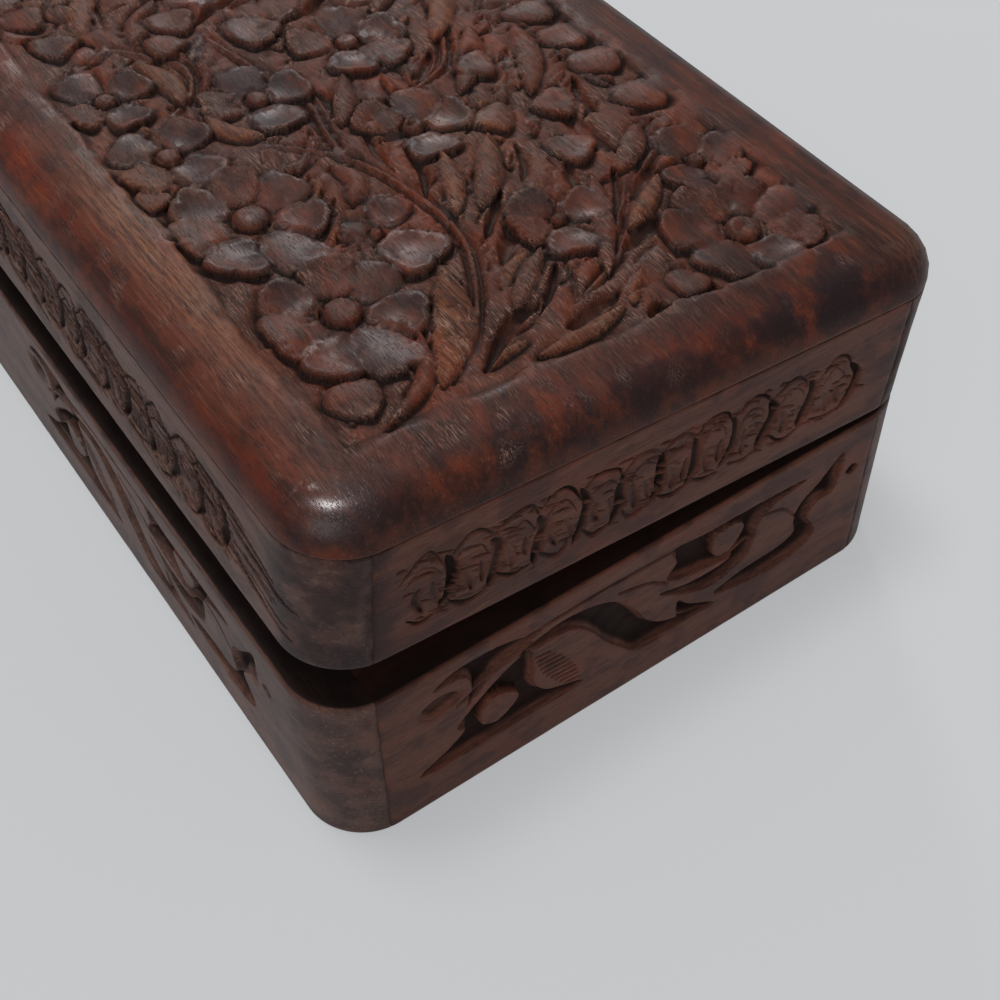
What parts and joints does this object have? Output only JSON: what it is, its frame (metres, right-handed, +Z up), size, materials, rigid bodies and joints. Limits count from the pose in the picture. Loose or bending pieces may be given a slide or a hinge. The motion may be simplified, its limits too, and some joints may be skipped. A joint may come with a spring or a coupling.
{
  "type": "trinket box",
  "caption": "Long wooden keepsake box with a carved, rear-hinged lid that stands slightly ajar; opens to one undivided compartment.",
  "frame": {"origin": "middle of the footprint, on the underside that the box stands on", "axes": "+Z up, +X along the long side to the box's right, -Y towards the front that opens; hinges at +Y"},
  "size_m": [0.204, 0.1061, 0.0663],
  "materials": {
    "rosewood_board": "waxed semi-gloss, hand carved",
    "rosewood_wall": "waxed satin, hand carved",
    "floor_board": "sanded, thinly stained",
    "brass": "dull pressed brass",
    "brass_screws": "turned brass, slotted",
    "steel_pins": "bright drawn wire"
  },
  "bodies": {
    "base": {"base_front_wall": "rosewood_wall", "base_rear_wall": "rosewood_wall", "base_left_wall": "rosewood_wall", "base_right_wall": "rosewood_wall", "floor_panel": "floor_board", "floor_pins": "steel_pins", "hinge_left_base_leaf": "brass", "hinge_left_pin": "brass", "hinge_left_base_screws": "brass_screws", "hinge_right_base_leaf": "brass", "hinge_right_pin": "brass", "hinge_right_base_screws": "brass_screws"},
    "lid": {"lid_board": "rosewood_board", "lid_front_wall": "rosewood_wall", "lid_rear_wall": "rosewood_wall", "lid_left_wall": "rosewood_wall", "lid_right_wall": "rosewood_wall", "hinge_left_lid_leaf": "brass", "hinge_left_lid_screws": "brass_screws", "hinge_right_lid_leaf": "brass", "hinge_right_lid_screws": "brass_screws"}
  },
  "joints": [
    {"name": "lid_hinge", "type": "hinge", "parent": "base", "child": "lid", "pos_m": [0, 0.0532, 0.03165], "axis": [-1, 0, 0], "range_deg": [-4.7, 175.3]}
  ]
}
